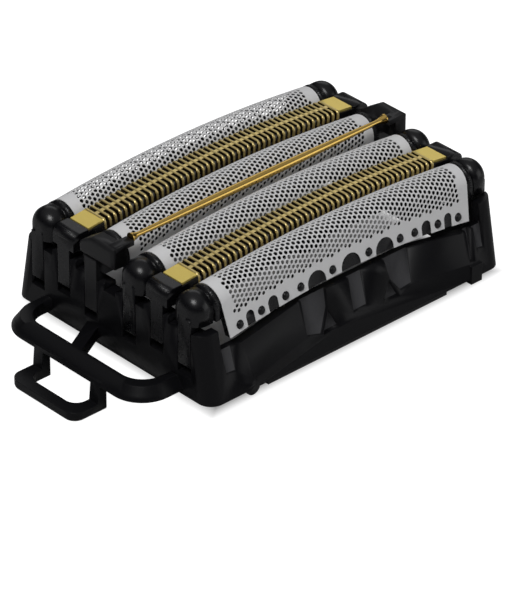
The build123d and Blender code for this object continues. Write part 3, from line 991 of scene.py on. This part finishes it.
@dataclass
class SlitBlade(Moulding):
    """A slit blade, whose plain end plates are paler than its comb."""

    plate_from: float = 20.1
    spine_half_width: float = 0.3

    def dress(self, piece: bpy.types.Object) -> None:
        """Paints the end plates and the spine, and leaves the comb below its ribs in shade.

        Args:
            piece: the blade.
        """
        mesh = piece.data
        mesh.materials.append(PLATE_GOLD.material())
        mesh.materials.append(COMB_GOLD.material())
        for face in mesh.polygons:
            off_centre = abs(abs(face.center.y) / MM - SLIT_Y)
            if abs(face.center.x) > self.plate_from * MM:
                face.material_index = 1
            elif face.normal.z > FACING and off_centre < self.spine_half_width:
                face.material_index = 2


@dataclass
class RollerHolder(Moulding):
    """The rear inner holder, whose arms are half shells under the roller's ends."""

    arm_from: float = 21.85
    arm_half_width: float = 0.8
    shell_top: float = 14.95
    height_kept: float = 0.1

    def dress(self, piece: bpy.types.Object) -> None:
        """Takes the arms down to half shells, so that the collars show.

        Args:
            piece: the holder.
        """
        top = self.shell_top * MM
        for corner in piece.data.vertices:
            on_arm = abs(corner.co.x) > self.arm_from * MM and abs(corner.co.y) < self.arm_half_width * MM
            if on_arm and corner.co.z > top:
                corner.co.z = top + self.height_kept * (corner.co.z - top)
        piece.data.update()


@dataclass(frozen=True)
class Lamp:
    """A soft rectangular lamp, in metres and watts."""

    name: str
    place: tuple[float, float, float]
    size: tuple[float, float]
    power: float

    def build(self) -> None:
        """Adds the lamp, facing the cassette."""
        light = bpy.data.lights.new(self.name, "AREA")
        light.shape = "RECTANGLE"
        light.size, light.size_y = self.size
        light.energy = self.power
        lamp = bpy.data.objects.new(self.name, light)
        lamp.location = self.place
        lamp.rotation_euler = (-Vector(self.place)).to_track_quat("-Z", "Y").to_euler()
        bpy.context.scene.collection.objects.link(lamp)


LAMPS = (
    Lamp("key", (-0.30, -0.15, 0.55), (0.25, 0.25), 1.7),
    Lamp("front_box", (0.42, -0.50, 0.16), (0.55, 0.36), 0.62),
    Lamp("rear_box", (0.47, 0.46, 0.33), (0.50, 0.34), 0.34),
)

# Height share and colour of the sky's edge and of its top
SKY_STOPS = ((0.35, (0.05, 0.05, 0.055, 1.0)), (0.95, (0.60, 0.60, 0.62, 1.0)))


@dataclass
class Studio:
    """White floor, soft lamps and the camera that matches the photo."""

    azimuth: float = -42.757
    elevation: float = 31.87
    roll: float = 0.153
    distance: float = 604.091
    focal_pixels: float = 4715.734
    picture_height: float = 606.0
    centre_right: float = 7.486
    centre_down: float = -24.724
    sensor: float = 24.0
    floor_glow: float = 0.97
    # Size, offset and fade of the painted shadow under the cassette, where the floor's glow is taken away.
    shade_half_length: float = 26.5
    shade_half_depth: float = 19.5
    shade_offset: float = 2.5
    fade_from: float = 0.86
    fade_to: float = 0.98
    floor_half: float = 900.0
    floor_colour: tuple[float, float, float, float] = (0.5, 0.5, 0.5, 1.0)
    glow_colour: tuple[float, float, float, float] = (1.0, 1.0, 1.0, 1.0)
    sky_strength: float = 0.6
    nearest: float = 0.01
    farthest: float = 20.0

    def camera(self) -> None:
        """Places the camera at the photo's angle."""
        turn = math.radians(self.azimuth)
        tilt = math.radians(self.elevation)
        back = Vector(
            (math.sin(turn) * math.cos(tilt), -math.cos(turn) * math.cos(tilt), math.sin(tilt))
        )
        right = Vector((0, 0, 1)).cross(back).normalized()
        up = back.cross(right)
        lean = math.radians(self.roll)
        right_leaned = right * math.cos(lean) + up * math.sin(lean)
        up_leaned = up * math.cos(lean) - right * math.sin(lean)
        lens = bpy.data.cameras.new("camera")
        lens.sensor_fit = "VERTICAL"
        lens.sensor_height = self.sensor
        lens.lens = self.focal_pixels * self.sensor / self.picture_height
        lens.shift_x = -self.centre_right / self.picture_height
        lens.shift_y = self.centre_down / self.picture_height
        lens.clip_start = self.nearest
        lens.clip_end = self.farthest
        eye = bpy.data.objects.new("camera", lens)
        turned = Matrix((right_leaned, up_leaned, back)).transposed().to_4x4()
        eye.matrix_world = Matrix.Translation(back * self.distance * MM) @ turned
        bpy.context.scene.collection.objects.link(eye)
        bpy.context.scene.camera = eye

    def world(self) -> None:
        """Lights the scene by a sky that is bright above and dim at its edge."""
        world = bpy.data.worlds.new("studio")
        bpy.context.scene.world = world
        world.use_nodes = True
        nodes = world.node_tree.nodes
        links = world.node_tree.links
        place = nodes.new("ShaderNodeTexCoord")
        split = nodes.new("ShaderNodeSeparateXYZ")
        ramp = nodes.new("ShaderNodeValToRGB")
        for stop, (position, colour) in zip(ramp.color_ramp.elements, SKY_STOPS):
            stop.position = position
            stop.color = colour
        links.new(place.outputs["Generated"], split.inputs["Vector"])
        links.new(split.outputs["Z"], ramp.inputs["Fac"])
        links.new(ramp.outputs["Color"], nodes["Background"].inputs["Color"])
        nodes["Background"].inputs["Strength"].default_value = self.sky_strength

    def painted_floor_shadow(self, tree: bpy.types.NodeTree) -> bpy.types.NodeSocket:
        """How much the floor glows at a place: the glow fades to nothing under the cassette, a painted shadow
        for the shade where no light reaches.

        Args:
            tree: the floor's node tree.

        Returns:
            The socket that carries the glow.
        """
        place = tree.nodes.new("ShaderNodeTexCoord")
        moved = tree.nodes.new("ShaderNodeVectorMath")
        moved.operation = "SUBTRACT"
        moved.inputs[1].default_value = (self.shade_offset * MM, self.shade_offset * MM, 0.0)
        shares = tree.nodes.new("ShaderNodeVectorMath")
        shares.operation = "DIVIDE"
        shares.inputs[1].default_value = (self.shade_half_length * MM, self.shade_half_depth * MM, 1.0)
        sizes = tree.nodes.new("ShaderNodeVectorMath")
        sizes.operation = "ABSOLUTE"
        split = tree.nodes.new("ShaderNodeSeparateXYZ")
        larger = tree.nodes.new("ShaderNodeMath")
        larger.operation = "MAXIMUM"
        fade = tree.nodes.new("ShaderNodeMapRange")
        fade.inputs["From Min"].default_value = self.fade_from
        fade.inputs["From Max"].default_value = self.fade_to
        fade.inputs["To Max"].default_value = self.floor_glow
        tree.links.new(place.outputs["Object"], moved.inputs[0])
        tree.links.new(moved.outputs["Vector"], shares.inputs[0])
        tree.links.new(shares.outputs["Vector"], sizes.inputs[0])
        tree.links.new(sizes.outputs["Vector"], split.inputs["Vector"])
        tree.links.new(split.outputs["X"], larger.inputs[0])
        tree.links.new(split.outputs["Y"], larger.inputs[1])
        tree.links.new(larger.outputs["Value"], fade.inputs["Value"])
        return fade.outputs["Result"]

    def floor(self) -> None:
        """Lays the floor: white as the camera sees it, with the lamps' soft shadows and a painted shadow
        under the cassette, grey in reflections.
        """
        half = self.floor_half
        corners = [(-half, -half), (half, -half), (half, half), (-half, half)]
        points = np.array([(x, y, FLOOR_HEIGHT) for x, y in corners])
        plane = mesh_object("floor", points, [[0, 1, 2, 3]])
        material = bpy.data.materials.new("floor_white")
        material.use_nodes = True
        nodes = material.node_tree.nodes
        links = material.node_tree.links
        shader = nodes["Principled BSDF"]
        shader.inputs["Base Color"].default_value = self.floor_colour
        shader.inputs["Roughness"].default_value = 1.0
        shader.inputs["Specular IOR Level"].default_value = 0.0
        shader.inputs["Emission Color"].default_value = self.glow_colour
        rays = nodes.new("ShaderNodeLightPath")
        glow = nodes.new("ShaderNodeMath")
        glow.operation = "MULTIPLY"
        links.new(rays.outputs["Is Camera Ray"], glow.inputs[0])
        # The glow is multiplied by the painted shadow under the cassette.
        links.new(self.painted_floor_shadow(material.node_tree), glow.inputs[1])
        links.new(glow.outputs["Value"], shader.inputs["Emission Strength"])
        plane.data.materials.append(material)

    def build(self) -> None:
        """Sets up floor, light and camera."""
        self.floor()
        self.world()
        for lamp in LAMPS:
            lamp.build()
        self.camera()
        bpy.context.scene.view_settings.view_transform = "Standard"


def mouldings() -> list[Moulding]:
    """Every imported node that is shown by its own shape.

    Returns:
        The mouldings, each with its finish.
    """
    pieces: list[Moulding] = [Ring("cassette_frame", "frame", RING_PLASTIC, "black_plastic")]
    for side in ("front", "rear"):
        pieces.append(Moulding(f"holder_{side}_outer", f"unit_{side}_outer", GLOSS_PLASTIC, "black_plastic"))
        pieces.append(SlitBlade(f"slit_blade_{side}", f"unit_slit_{side}", COMB_SHADE, "gold_coat"))
        pieces.append(Moulding(f"slit_carrier_{side}", f"unit_slit_{side}", GLOSS_PLASTIC, "black_plastic"))
        pieces.append(Moulding(f"slit_cutter_{side}", f"cutter_{side}", CUTTER_STEEL, "cutter_steel"))
        pieces.append(Moulding(f"slit_slider_{side}", f"cutter_{side}", DARK_PLASTIC, "slider_plastic"))
        pieces.append(Moulding(f"slit_spring_{side}", f"cutter_{side}", CUTTER_STEEL, "cutter_steel"))
    pieces.append(Moulding("holder_front_inner", "unit_front_inner", GLOSS_PLASTIC, "black_plastic"))
    pieces.append(RollerHolder("holder_rear_inner", "unit_rear_inner", SATIN_PLASTIC, "black_plastic"))
    return pieces


def main() -> None:
    logging.basicConfig(level=logging.INFO, format="%(message)s")
    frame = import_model()
    for moulding in mouldings():
        piece = moulding.build(frame["nodes"][moulding.node])
        moulding.dress(piece)
        LOG.info("moulding %s", piece.name)
    punch = perforation_graph()
    repeat = repeat_graph()
    foils = [
        Foil(FoilKind.OUTER, Side.FRONT, -OUTER_FOIL_Y),
        Foil(FoilKind.INNER, Side.FRONT, -INNER_FOIL_Y),
        Foil(FoilKind.INNER, Side.REAR, INNER_FOIL_Y),
        Foil(FoilKind.OUTER, Side.REAR, OUTER_FOIL_Y),
    ]
    for foil in foils:
        piece = foil.build(punch)
        LOG.info("foil %s with %d faces", piece.name, len(piece.data.polygons))
        if foil.kind is FoilKind.OUTER:
            LOG.info("heads %s", StakeHeads(foil).build(repeat).name)
    for side in Side:
        LOG.info("ribs %s", CombRibs(side).build(repeat).name)
    LOG.info("roller %s", Roller().build().name)
    Studio().build()


if __name__ == "__main__":
    main()
